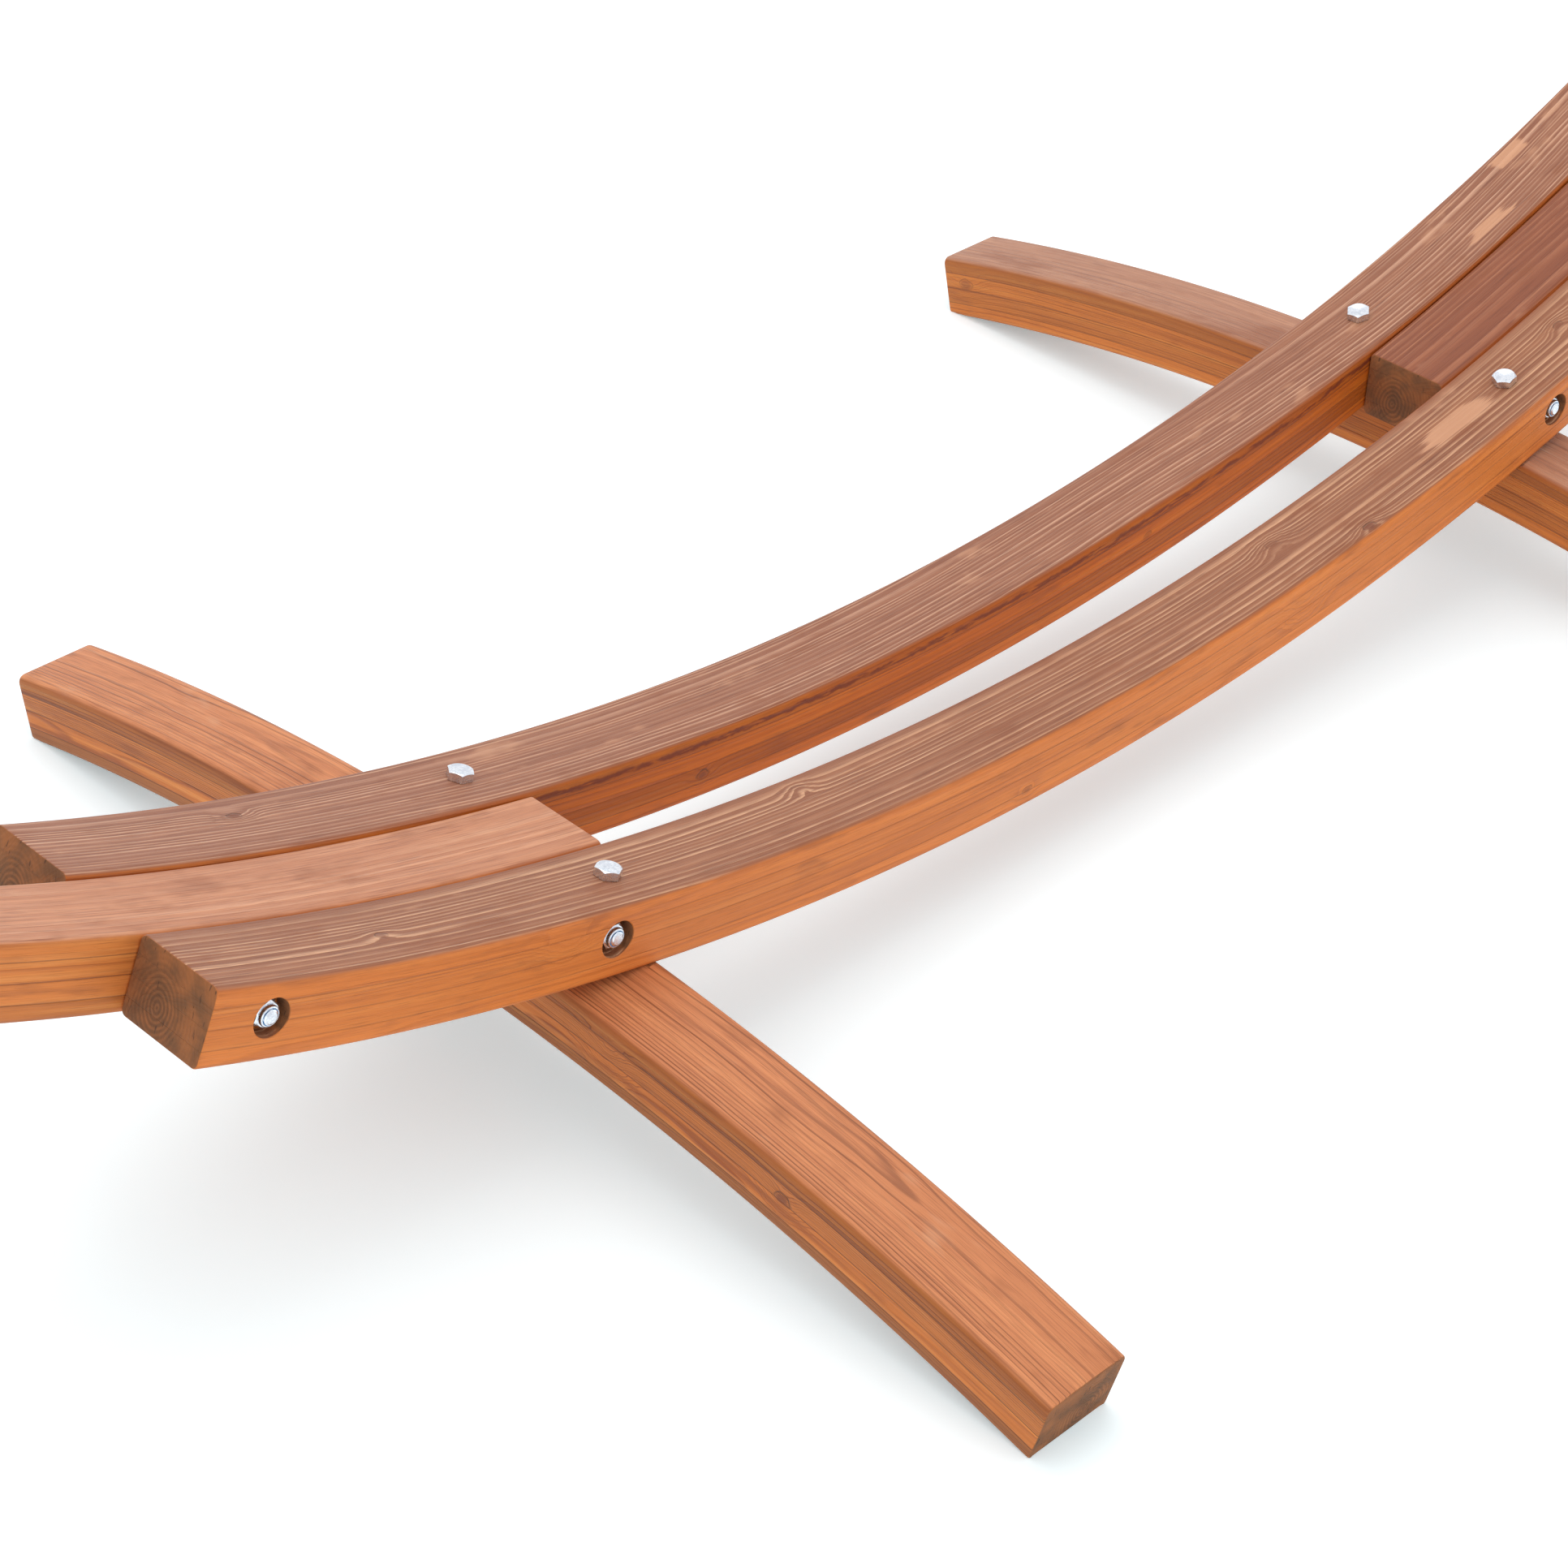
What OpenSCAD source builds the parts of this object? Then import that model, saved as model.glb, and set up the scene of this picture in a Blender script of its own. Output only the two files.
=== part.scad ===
// Free-standing arc hammock stand in bent laminated larch, with galvanised bolts,
// chains and snap hooks. Millimetres, +X along the stand, +Z up, origin on the
// floor under its middle.

/* [Bent timber] */
// Radius of the bent centre line of the rails and arms
arc_r = 2400; // [2360:10:2440]
// Width of a rail
rail_w = 81; // [76:1:84]
// Depth of a rail along the radius
rail_h = 60; // [58:1:62]
// Angle from the middle of the stand to each end of a rail
rail_half_angle = 22.7; // [22.4:0.1:24]
// Clear gap between the two rails
rail_gap = 82; // [81:1:86]
// Width of an arm
arm_w = 80; // [76:1:81]
// Depth of an arm along the radius
arm_h = 60; // [59:0.5:62]
// How far an arm's top lies below the rails' tops
arm_drop = 1.5; // [1:0.5:3]
// Distance from the middle to an arm's plumb inner end
arm_inner_x = 508; // [500:1:516]
// Angle of an arm's outer end
arm_tip_angle = 58.6; // [58.4:0.1:60]
// Radius of the rounded long edges of the rails and arms
edge_r = 5; // [3:0.5:8]

/* [Feet] */
// Distance from the middle to the centre of each foot
foot_x = 565; // [562:1:568]
// Width of a foot
foot_w = 78; // [76:1:82]
// Depth of a foot
foot_h = 61; // [60:1:63]
// Radius of a foot's bent centre line
foot_r = 2400; // [2360:10:2440]
// Angle from a foot's crown to each end
foot_half_angle = 13.75; // [13.6:0.05:14]
// Depth planed off under each foot end, so that it stands flat
foot_pad_cut = 4; // [2:0.5:6]
// Depth of the seat cut for the arm, at the foot's inner face
foot_seat_depth = 7.5; // [6:0.5:9]
// Radius of the rounded long edges of the feet
foot_edge_r = 7; // [4:0.5:9]

/* [Bolts] */
// Shank diameter of the bolts
bolt_d = 12; // [10:1:12]
// Hole diameter in the timber for those bolts
bolt_hole_d = 13; // [13:0.5:14]
// Angle of the upright bolts through rail and foot
seat_bolt_angle = 13.2; // [13.1:0.1:13.4]
// Angles of the cross bolts through rails and arm
clamp_bolt_angles = [13.7, 21.4]; // [13.6:0.1:21.6]
// How far the cross bolts lie above the rails' centre line
clamp_rise = 3; // [0:0.5:5]
// Diameter of a counterbore
counterbore_d = 30; // [28:1:32]
// Depth of the cross bolts' counterbores
clamp_counterbore = 14; // [13:0.5:16]
// Radius, from the arc's centre, of the nut seats under the feet
seat_nut_r = 2476; // [2472:1:2478]

/* [Hanging gear] */
// Angle of the eye bolt in each arm
eye_angle = 56.8; // [56.5:0.1:57]
// Lean of the slack chain from plumb, towards the middle
chain_lean = 30.4; // [30:0.1:32]
// Wire diameter of a chain link
link_wire = 5; // [4.5:0.5:5]
// Inside length of a chain link
link_pitch = 35; // [33:1:36]
// Inside width of a chain link
link_inner_w = 11; // [11:0.5:12]
// Wire diameter of a snap hook
hook_wire = 8; // [7:0.5:8]
// Diameter of a snap hook's gate
gate_d = 7; // [6:0.5:7]

/* [Hidden] */
$fn = 64;
arc_fn = 720;   // facets of a full circle along the bent timbers
timber = "peru";
foot_timber = "sandybrown";
zinc = "silver";
chain_zinc = "lightsteelblue";
gap = 0.3;      // clearance between moving pieces
touch = 0.05;   // clearance between flat or bent faces that bear on each other
seat_play = 0.5; // clearance beside the rails in those seats
past = 1;       // how far a cutter runs past a face
arm_start = 11.5; // angle at which an arm is bent from, before its inner end is cut plumb

// Heights: the pads stand on the floor, and the rails and arms lie in seats in the feet.
foot_under_r = foot_r - foot_h / 2;
foot_top_z = foot_under_r * (1 - cos(foot_half_angle)) - foot_pad_cut + foot_h;
foot_centre_z = foot_top_z - foot_h / 2 - foot_r;
arm_face_r = arc_r - rail_h / 2 + arm_drop;
arm_under_r = arm_face_r + arm_h;
foot_inner_x = foot_x - foot_w / 2;
arc_z = foot_top_z - foot_seat_depth + sqrt(pow(arm_under_r, 2) - pow(foot_inner_x, 2));
rail_y = (rail_gap + rail_w) / 2;
rail_outer_y = rail_gap / 2 + rail_w;
rail_top_r = arc_r - rail_h / 2;
clamp_r = arc_r - clamp_rise;

// Fasteners of the bolt size and of the eye bolts, across the flats and in thickness.
hex_af = 19;
head_h = 7.5;
nut_h = 10;
washer_d = 24;
washer_h = 2.5;
thread_past_nut = 1.5;
clamp_seat_y = rail_outer_y - clamp_counterbore;
clamp_under_head = clamp_seat_y + washer_h;
seat_bolt_end_r = seat_nut_r + washer_h + nut_h + thread_past_nut;

eye_shank_d = 10;
eye_hole_d = 11;
eye_af = 17;
eye_nut_h = 8;
eye_washer_d = 30;
eye_collar_d = 20;
eye_collar_h = 4;
eye_wire = 9;
eye_inner_r = 12.5;
eye_ring_r = eye_inner_r + eye_wire / 2;
eye_sink = 1;   // how deep the ring is forged into its collar
eye_centre_h = washer_h + eye_collar_h - eye_sink + eye_ring_r + eye_wire / 2;
eye_face_r = arm_face_r - touch;
eye_centre_r = eye_face_r - eye_centre_h;

// Places along the slack chain, measured from the centre of the eye.
link_bow_r = (link_inner_w + link_wire) / 2;
link_span = link_pitch + link_wire;
link_first = eye_inner_r - link_wire / 2 - gap;
link_step = link_span - link_wire - gap;
hook_top_s = link_first + 3 * link_step + link_span - link_wire / 2 - gap - hook_wire / 2;
hook_bow_r = 12;
hook_centres = 47;
gate_pin_d = 3;
gate_tab = 3;
gate_slot = 3.6;
gate_pin_l = hook_wire;
gate_knuckle_d = 7.8;
gate_cheeks = 6.4;      // over both cheeks of the gate
gate_hinge = 9;         // from the top bow's end down to the gate's hinge
gate_neck = 4.6;        // from the hinge up to the hook's full wire
gate_slot_end = 5.5;    // from the hinge down to the end of the gate's slot
gate_running = 0.1;     // play of the gate on its pin, in diameter
gate_end_gap = 0.4;     // between the gate's free end and the low bow

// Rectangle with rounded corners, centred.
module rounded_section(w, h, r) {
    square([w - 2 * r, h], center = true);
    square([w, h - 2 * r], center = true);
    for (x = [-1, 1], y = [-1, 1])
        translate([x * (w / 2 - r), y * (h / 2 - r)]) circle(r);
}

// Beam bent about a centre above it, from angle a0 to a1 off straight down.
module hanging_arc(r, w, h, a0, a1, edge) {
    translate([0, 0, arc_z]) rotate([90, 0, 0]) rotate([0, 0, a0 - 90])
        rotate_extrude(angle = a1 - a0, $fn = arc_fn)
            translate([r, 0]) rounded_section(h, w, edge);
}

// Puts children at an angle and radius of the arc, with +Z towards its centre.
module on_arc(a, r) {
    translate([0, 0, arc_z]) rotate([0, -a, 0]) translate([0, 0, -r]) children();
}

// Left and right, or front and back, copies of what is drawn at the right or the back.
module both_sides() {
    children();
    mirror([1, 0, 0]) children();
}
module both_faces() {
    children();
    mirror([0, 1, 0]) children();
}

// Cylinder along Y from y0 to y1 where a cross bolt at angle a runs.
module along_y(a, y0, y1, d) {
    on_arc(a, clamp_r) translate([0, y1, 0]) rotate([90, 0, 0]) cylinder(d = d, h = y1 - y0);
}

module hexagon(af, h) {
    cylinder(d = af / cos(30), h = h, $fn = 6);
}
// Hexagon whose outer corners are turned off at 30 degrees, as on a nut or a bolt head.
module turned_hexagon(af, h) {
    intersection() {
        hexagon(af, h);
        union() {
            cylinder(d = af / cos(30) + past, h = h - 1);
            translate([0, 0, h - 1]) cylinder(d1 = af / cos(30) + 1, d2 = af - 1.2, h = 1);
        }
    }
}
module washer(d, hole, h) {
    difference() {
        cylinder(d = d, h = h);
        translate([0, 0, -past]) cylinder(d = hole, h = h + 2 * past);
    }
}
module nut(af, hole, h) {
    difference() {
        turned_hexagon(af, h);
        translate([0, 0, -past]) cylinder(d = hole, h = h + 2 * past);
    }
}

module seat_bolt_hole(r0, r1, d) {
    on_arc(seat_bolt_angle, r1) translate([0, rail_y, 0]) cylinder(d = d, h = r1 - r0);
}

module rail() {
    color(timber) difference() {
        hanging_arc(arc_r, rail_w, rail_h, -rail_half_angle, rail_half_angle, edge_r);
        both_sides() {
            translate([0, -rail_y, 0]) seat_bolt_hole(rail_top_r - past, rail_top_r + rail_h + past,
                bolt_hole_d);
            for (a = clamp_bolt_angles) {
                along_y(a, -rail_w, rail_w, bolt_hole_d);
                along_y(a, rail_w / 2 - clamp_counterbore, rail_w / 2 + past, counterbore_d);
            }
        }
    }
}
module rail_back() {
    translate([0, rail_y, 0]) rail();
}
module rail_front() {
    mirror([0, 1, 0]) rail_back();
}

module arm() {
    color(timber) difference() {
        hanging_arc(arm_face_r + arm_h / 2, arm_w, arm_h, arm_start, arm_tip_angle, edge_r);
        translate([0, -arm_w, 0]) cube([arm_inner_x, 2 * arm_w, arc_r]);
        for (a = clamp_bolt_angles) along_y(a, -arm_w, arm_w, bolt_hole_d);
        on_arc(eye_angle, arm_under_r + past) cylinder(d = eye_hole_d, h = arm_h + 2 * past);
    }
}
module arm_right() {
    mirror([0, 1, 0]) arm();
}
module arm_left() {
    mirror([1, 0, 0]) arm();
}

// Cutter for the seat of a timber whose underside has radius r.
module seat(r, w) {
    translate([0, 0, arc_z]) rotate([90, 0, 0])
        cylinder(r = r + touch, h = w, center = true, $fn = arc_fn);
}

module foot_right() {
    color(foot_timber) difference() {
        translate([foot_x, 0, foot_centre_z]) rotate([90, 0, 90])
            rotate([0, 0, 90 - foot_half_angle])
                rotate_extrude(angle = 2 * foot_half_angle, $fn = arc_fn)
                    translate([foot_r, 0]) rounded_section(foot_h, foot_w, foot_edge_r);
        translate([foot_x - foot_w, -foot_r / 2, -foot_h]) cube([2 * foot_w, foot_r, foot_h]);
        seat(rail_top_r + rail_h, 2 * (rail_outer_y + seat_play));
        seat(arm_under_r, rail_gap);
        both_faces() {
            seat_bolt_hole(arc_r, seat_nut_r + foot_h, bolt_hole_d);
            seat_bolt_hole(seat_nut_r, seat_nut_r + foot_h, counterbore_d);
        }
    }
}
module foot_left() {
    mirror([1, 0, 0]) foot_right();
}

// Upright bolts: head on the rail, nut and washer in a counterbore under the foot.
module at_seat_bolts() {
    both_sides() both_faces() translate([0, rail_y, 0]) children();
}
module seat_bolts() {
    color(zinc) at_seat_bolts() {
        on_arc(seat_bolt_angle, rail_top_r - touch) turned_hexagon(hex_af, head_h);
        on_arc(seat_bolt_angle, seat_bolt_end_r)
            cylinder(d = bolt_d, h = seat_bolt_end_r - rail_top_r + past);
    }
}
module seat_washers() {
    color(zinc) at_seat_bolts()
        on_arc(seat_bolt_angle, seat_nut_r + washer_h) washer(washer_d, bolt_hole_d, washer_h);
}
module seat_nuts() {
    color(zinc) at_seat_bolts()
        on_arc(seat_bolt_angle, seat_nut_r + washer_h) rotate([180, 0, 0])
            nut(hex_af, bolt_d, nut_h);
}

// Cross bolts: heads at the back, nuts at the front, both in counterbores.
module at_clamp_bolts(y, out) {
    both_sides() for (a = clamp_bolt_angles)
        on_arc(a, clamp_r) translate([0, y, 0]) rotate([out > 0 ? -90 : 90, 0, 0]) children();
}
module clamp_bolts() {
    color(zinc) {
        at_clamp_bolts(clamp_under_head, 1) turned_hexagon(hex_af, head_h);
        at_clamp_bolts(clamp_under_head + past, -1)
            cylinder(d = bolt_d, h = 2 * clamp_under_head + nut_h + thread_past_nut + past);
    }
}
module clamp_head_washers() {
    color(zinc) at_clamp_bolts(clamp_seat_y, 1) washer(washer_d, bolt_hole_d, washer_h);
}
module clamp_nut_washers() {
    color(zinc) at_clamp_bolts(-clamp_seat_y, -1) washer(washer_d, bolt_hole_d, washer_h);
}
module clamp_nuts() {
    color(zinc) at_clamp_bolts(-clamp_under_head, -1) nut(hex_af, bolt_d, nut_h);
}

// Eye bolt through the arm, near its tip.
module eye_bolt_right() {
    shank_past = washer_h + eye_nut_h + thread_past_nut;
    color(zinc) {
        on_arc(eye_angle, arm_under_r + shank_past)
            cylinder(d = eye_shank_d, h = arm_h + shank_past + washer_h + past);
        on_arc(eye_angle, eye_face_r - washer_h) cylinder(d = eye_collar_d, h = eye_collar_h);
        on_arc(eye_angle, eye_centre_r) rotate([90, 0, 0])
            rotate_extrude() translate([eye_ring_r, 0]) circle(d = eye_wire);
    }
}
module eye_bolt_left() {
    mirror([1, 0, 0]) eye_bolt_right();
}
module eye_washers() {
    color(zinc) both_sides() {
        on_arc(eye_angle, eye_face_r) washer(eye_washer_d, eye_hole_d, washer_h);
        on_arc(eye_angle, arm_under_r + washer_h) washer(eye_washer_d, eye_hole_d, washer_h);
    }
}
module eye_nuts() {
    color(zinc) both_sides() on_arc(eye_angle, arm_under_r + washer_h) rotate([180, 0, 0])
        nut(eye_af, eye_shank_d, eye_nut_h);
}

// Puts children on the slack chain, s along it from the eye's centre, -Z along the chain.
module on_chain(s, turn) {
    translate([eye_centre_r * sin(eye_angle), 0, arc_z - eye_centre_r * cos(eye_angle)])
        rotate([0, chain_lean, 0]) translate([0, 0, -s]) rotate([0, 0, turn]) children();
}

// Bow of wire in the XZ plane: from angle a0 to a1, counted from +X towards +Z.
module bow(r, wire, a0, a1) {
    rotate([90, 0, 0]) rotate([0, 0, a0]) rotate_extrude(angle = a1 - a0)
        translate([r, 0]) circle(d = wire, $fn = 32);
}
// Link hanging from its top bow at the origin.
module link() {
    color(chain_zinc) translate([0, 0, -link_bow_r]) {
        bow(link_bow_r, link_wire, 0, 180);
        for (x = [-link_bow_r, link_bow_r])
            translate([x, 0, 2 * link_bow_r - link_span])
                cylinder(d = link_wire, h = link_span - 2 * link_bow_r, $fn = 32);
        translate([0, 0, 2 * link_bow_r - link_span]) bow(link_bow_r, link_wire, 180, 360);
    }
}
module chain_right(n) {
    on_chain(link_first + (n - 1) * link_step, n % 2 == 1 ? 90 : 0) link();
}
module chain_left(n) {
    mirror([1, 0, 0]) chain_right(n);
}

// Puts children at the gate's hinge, on the +X side of a hook in the XZ plane that hangs
// from its top bow at the origin, with -Z along the gate.
module at_gate_hinge() {
    translate([hook_bow_r, 0, -hook_bow_r - gate_hinge]) children();
}
module gate_pin_shape(d, l) {
    translate([0, l / 2, 0]) rotate([90, 0, 0]) cylinder(d = d, h = l, $fn = 32);
}
module hook() {
    color(chain_zinc) difference() {
        union() {
            translate([0, 0, -hook_bow_r]) bow(hook_bow_r, hook_wire, 0, 180);
            translate([-hook_bow_r, 0, -hook_bow_r - hook_centres])
                cylinder(d = hook_wire, h = hook_centres, $fn = 32);
            translate([0, 0, -hook_bow_r - hook_centres]) bow(hook_bow_r, hook_wire, 180, 360);
            at_gate_hinge() translate([0, 0, -gate_d / 2])
                cylinder(d = hook_wire, h = gate_hinge + gate_d / 2, $fn = 32);
        }
        at_gate_hinge() {
            for (side = [-1, 1])
                translate([-hook_wire, side * (gate_tab / 2 + hook_wire / 2) - hook_wire / 2, -hook_wire])
                    cube([2 * hook_wire, hook_wire, hook_wire + gate_neck]);
            gate_pin_shape(gate_pin_d, 2 * hook_wire);
        }
    }
}
module gate() {
    gate_len = hook_centres - gate_hinge - gate_end_gap;
    color(zinc) at_gate_hinge() difference() {
        union() {
            translate([0, 0, -gate_len]) cylinder(d = gate_d, h = gate_len, $fn = 32);
            gate_pin_shape(gate_knuckle_d, gate_cheeks);
        }
        translate([-gate_d, -gate_slot / 2, -gate_slot_end])
            cube([2 * gate_d, gate_slot, 2 * gate_slot_end]);
        gate_pin_shape(gate_pin_d + gate_running, 2 * gate_d);
    }
}
module gate_pin() {
    color(zinc) at_gate_hinge() gate_pin_shape(gate_pin_d, gate_pin_l);
}
module on_hook() {
    on_chain(hook_top_s, -90) children();
}

rail_front();
rail_back();
arm_left();
arm_right();
foot_left();
foot_right();
seat_bolts();
seat_washers();
seat_nuts();
clamp_bolts();
clamp_head_washers();
clamp_nut_washers();
clamp_nuts();
eye_bolt_left();
eye_bolt_right();
eye_washers();
eye_nuts();
chain_left(1);  // chain_left_1
chain_left(2);  // chain_left_2
chain_left(3);  // chain_left_3
chain_left(4);  // chain_left_4
chain_right(1);  // chain_right_1
chain_right(2);  // chain_right_2
chain_right(3);  // chain_right_3
chain_right(4);  // chain_right_4
on_hook() hook();  // hook_right
mirror([1, 0, 0]) on_hook() hook();  // hook_left
on_hook() gate();  // gate_right
mirror([1, 0, 0]) on_hook() gate();  // gate_left
on_hook() gate_pin();  // gate_pin_right
mirror([1, 0, 0]) on_hook() gate_pin();  // gate_pin_left
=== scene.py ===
"""Looks for the arc hammock stand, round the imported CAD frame.

Detailed timbers, bolts, chains and eye bolts stand for the CAD nodes. The scene is in metres. Shapes are
worked out in millimetres and scaled as they are made."""

import itertools
import math

import bpy
import numpy as np
from mathutils import Matrix, Vector


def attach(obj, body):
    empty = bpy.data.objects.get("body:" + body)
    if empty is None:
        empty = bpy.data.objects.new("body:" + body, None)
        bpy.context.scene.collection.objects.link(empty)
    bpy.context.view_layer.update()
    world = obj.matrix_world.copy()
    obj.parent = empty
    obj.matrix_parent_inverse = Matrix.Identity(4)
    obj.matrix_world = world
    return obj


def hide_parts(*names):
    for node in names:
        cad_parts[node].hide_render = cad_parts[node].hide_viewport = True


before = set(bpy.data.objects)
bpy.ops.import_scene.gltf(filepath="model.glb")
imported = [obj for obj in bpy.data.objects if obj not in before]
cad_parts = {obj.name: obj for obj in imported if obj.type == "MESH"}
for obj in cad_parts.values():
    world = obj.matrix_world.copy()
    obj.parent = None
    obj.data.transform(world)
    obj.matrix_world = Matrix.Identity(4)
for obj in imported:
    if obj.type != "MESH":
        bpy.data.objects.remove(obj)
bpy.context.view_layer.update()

MM = 0.001

# Sizes repeated from part.scad, in millimetres and degrees.
ARC_R = 2400.0
RAIL_W, RAIL_H, RAIL_END = 81.0, 60.0, 22.7
RAIL_Y = 81.5
ARM_W, ARM_H, ARM_DROP = 80.0, 60.0, 1.5
ARM_INNER_X, ARM_TIP = 508.0, 58.6
EDGE_R = 5.0
FOOT_X, FOOT_W, FOOT_H = 565.0, 78.0, 61.0
FOOT_R, FOOT_END, FOOT_PAD_CUT = 2400.0, 13.75, 4.0
FOOT_SEAT = 7.5
FOOT_EDGE_R = 7.0
TOUCH = 0.05
SEAT_BOLT_ANGLE = 13.2
SEAT_SPAN = (11.0, 17.0)  # angles between which the seats are cut, past both sides of a foot
CUT_PAST = 40.0  # how far the cutters under a foot run past the nuts' faces
CLAMP_ANGLES = (13.7, 21.4)
CLAMP_R = ARC_R - 3.0
COUNTERBORE_R, CLAMP_COUNTERBORE = 15.0, 14.0
BOLT_D, BOLT_HOLE_D = 12.0, 13.0
HEX_AF, HEAD_H, NUT_H = 19.0, 7.5, 10.0
WASHER_D, WASHER_H = 24.0, 2.5
SEAT_NUT_R = 2476.0
THREAD_PAST = 1.5
EYE_ANGLE, CHAIN_LEAN = 56.8, 30.4
EYE_SHANK, EYE_HOLE, EYE_AF, EYE_NUT_H = 10.0, 11.0, 17.0, 8.0
EYE_WASHER_D = 30.0
EYE_COLLAR_D, EYE_COLLAR_H, EYE_SINK = 20.0, 4.0, 1.0
EYE_INNER_R, EYE_WIRE = 12.5, 9.0
LINK_WIRE, LINK_PITCH, LINK_INNER_W, GAP = 5.0, 35.0, 11.0, 0.3
WELD_LENGTH, WELD_SWELL = 2.2, 0.09

ARM_FACE_R = ARC_R - RAIL_H / 2 + ARM_DROP
ARM_UNDER_R = ARM_FACE_R + ARM_H
RAIL_TOP_R = ARC_R - RAIL_H / 2
FOOT_UNDER_R = FOOT_R - FOOT_H / 2
FOOT_TOP_Z = FOOT_UNDER_R * (1 - math.cos(math.radians(FOOT_END))) - FOOT_PAD_CUT + FOOT_H
FOOT_Z = FOOT_TOP_Z - FOOT_H / 2 - FOOT_R
ARC_Z = FOOT_TOP_Z - FOOT_SEAT + math.sqrt(ARM_UNDER_R**2 - (FOOT_X - FOOT_W / 2) ** 2)
CLAMP_SEAT_Y = RAIL_Y + RAIL_W / 2 - CLAMP_COUNTERBORE
UNDER_HEAD_Y = CLAMP_SEAT_Y + WASHER_H
EYE_RING_R = EYE_INNER_R + EYE_WIRE / 2
EYE_FACE_R = ARM_FACE_R - TOUCH
EYE_CENTRE_R = EYE_FACE_R - (WASHER_H + EYE_COLLAR_H - EYE_SINK + EYE_RING_R + EYE_WIRE / 2)
SIDES = {"left": -1, "right": 1}
DOWN = Matrix.Rotation(math.pi, 4, "X")
CREASE = math.radians(30)  # edges sharper than this stay sharp


# ---------------------------------------------------------------- meshes


def make(name, verts, faces, place=None):
    """Object from millimetre points, placed by a matrix in millimetres.

    A mirroring matrix keeps the faces outward."""
    place = place or Matrix.Identity(4)
    pts = np.c_[np.asarray(verts, float), np.ones(len(verts))] @ np.array(place).T
    if place.determinant() < 0:
        faces = [f[::-1] for f in faces]
    mesh = bpy.data.meshes.new(name)
    mesh.from_pydata((pts[:, :3] * MM).tolist(), [], [list(map(int, f)) for f in faces])
    mesh.update()
    mesh.shade_smooth()
    mesh.set_sharp_from_angle(angle=CREASE)
    obj = bpy.data.objects.new(name, mesh)
    bpy.context.scene.collection.objects.link(obj)
    return obj


def strips(rows, cols, closed_rows=False):
    """Quads between rows of points that each run round a closed outline."""
    faces = []
    for i in range(rows if closed_rows else rows - 1):
        for j in range(cols):
            k = (j + 1) % cols
            n = (i + 1) % rows
            faces.append((i * cols + j, i * cols + k, n * cols + k, n * cols + j))
    return faces


def lathe(profile, steps=48):
    """Solid of revolution about Z from (radius, height) points, listed from its bottom to its top."""
    turn = np.linspace(0, 2 * math.pi, steps, endpoint=False)
    verts = [(r * math.cos(a), r * math.sin(a), z) for r, z in profile for a in turn]
    faces = strips(len(profile), steps)
    last = (len(profile) - 1) * steps
    return verts, faces + [tuple(range(steps))[::-1], tuple(range(last, last + steps))]


def ring_lathe(profile, steps=48):
    """As lathe, for an outline that closes on itself, such as a washer's."""
    turn = np.linspace(0, 2 * math.pi, steps, endpoint=False)
    verts = [(r * math.cos(a), r * math.sin(a), z) for r, z in profile for a in turn]
    return verts, strips(len(profile), steps, closed_rows=True)


def hex_radius(angle, flats):
    """Distance from the middle of a hexagon to its side in this direction."""
    off = (angle + math.pi / 6) % (math.pi / 3) - math.pi / 6
    return flats / 2 / math.cos(off)


def hexagon(flats, height, hole=None, dish=0.0):
    """Turned hexagon from z = 0 up: a bolt head with a stamped dish, or a nut with a countersunk hole."""
    steps = 72
    turn = [2 * math.pi * i / steps for i in range(steps)]
    slope, crown = math.tan(math.radians(30)), flats / 2 * 0.95
    rho = [hex_radius(a, flats) for a in turn]
    lift = [(r - crown) * slope for r in rho]
    rows = [[(crown, 0.0)] * steps]
    if hole:
        rows += [list(zip(rho, lift))]
    else:
        rows += [[(crown, 0.3)] * steps, [(r, 0.35) for r in rho]]
    rows += [[(r, height - z) for r, z in zip(rho, lift)], [(crown, height)] * steps]
    if hole:
        rim = hole / 2
        rows += [[(rim + 0.9, height)] * steps, [(rim, height - 0.8)] * steps]
        rows += [[(rim, 0.8)] * steps, [(rim + 0.9, 0.0)] * steps]
    else:
        rows += [[(flats * 0.40, height)] * steps, [(flats * 0.34, height - dish)] * steps]
    verts = [
        (row[i][0] * math.cos(a), row[i][0] * math.sin(a), row[i][1])
        for row in rows
        for i, a in enumerate(turn)
    ]
    if hole:
        return verts, strips(len(rows), steps, closed_rows=True)
    last = (len(rows) - 1) * steps
    caps = [tuple(range(steps))[::-1], tuple(range(last, last + steps))]
    return verts, strips(len(rows), steps) + caps


def lock_nut(flats, height, hole):
    """Hexagon with the round collar that holds the locking ring."""
    body, collar = height * 0.68, flats * 0.43
    verts, faces = hexagon(flats, body, hole=hole)
    more, more_faces = ring_lathe(
        [
            (hole / 2, body - 0.5),
            (collar, body - 0.5),
            (collar, height - 1.6),
            (collar - 0.5, height - 0.5),
            (collar - 1.5, height),
            (hole / 2 + 1.0, height),
            (hole / 2 + 0.7, height - 0.9),
            (hole / 2, height - 0.9),
        ]
    )
    start = len(verts)
    return verts + more, faces + [tuple(start + v for v in face) for face in more_faces]


def locking_ring(height, hole):
    """Nylon ring held in a lock nut's collar, seen round the end of the bolt."""
    low, high = height - 0.85, height - 0.15
    inner, outer = hole / 2 + 0.05, hole / 2 + 0.75
    return ring_lathe([(inner, low), (outer, low), (outer, high), (inner, high)])


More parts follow.
